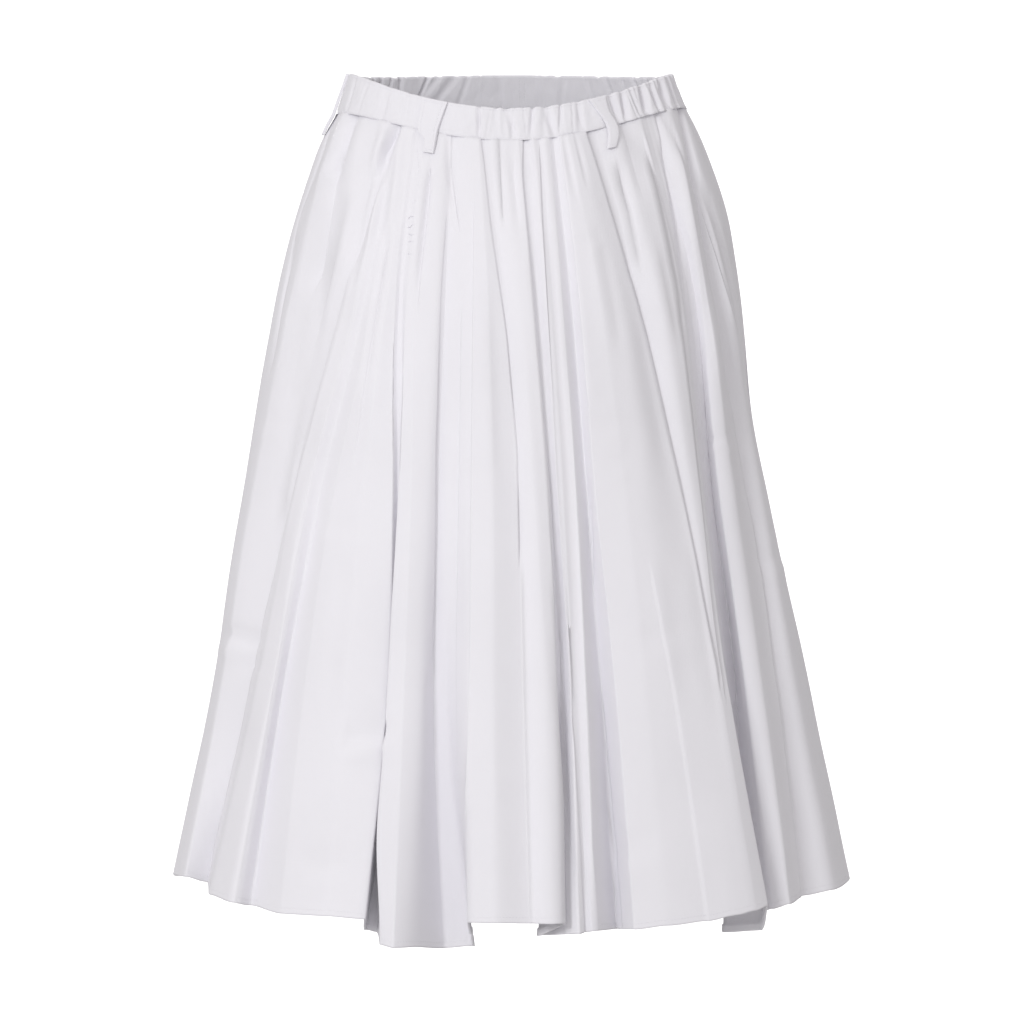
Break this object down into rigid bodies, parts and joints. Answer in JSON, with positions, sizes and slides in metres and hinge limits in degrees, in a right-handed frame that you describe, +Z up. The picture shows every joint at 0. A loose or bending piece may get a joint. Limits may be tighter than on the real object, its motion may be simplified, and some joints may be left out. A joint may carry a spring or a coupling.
{
  "type": "pleated skirt",
  "caption": "Pleated A-line midi skirt with a gathered elastic waistband and belt loops, filled out and hollow, open at waist and hem.",
  "frame": {"origin": "centre of the waist opening, at half the height of the waistband's sides, where a waist holds the skirt", "axes": "+Z up, -Y towards the front, +X to the right of the front view"},
  "size_m": [0.5752, 0.4688, 0.736],
  "materials": {
    "skirt_cotton": "crisp white plain-woven cotton",
    "band_cotton": "white cotton folded over elastic, puckered",
    "loop_cotton": "white cotton strip, pressed and topstitched"
  },
  "bodies": {
    "root": {"skirt_front": "skirt_cotton", "skirt_back": "skirt_cotton", "waistband": "band_cotton", "belt_loop_front_left": "loop_cotton", "belt_loop_front_right": "loop_cotton", "belt_loop_side_left": "loop_cotton", "belt_loop_side_right": "loop_cotton", "belt_loop_back": "loop_cotton"}
  },
  "joints": []
}
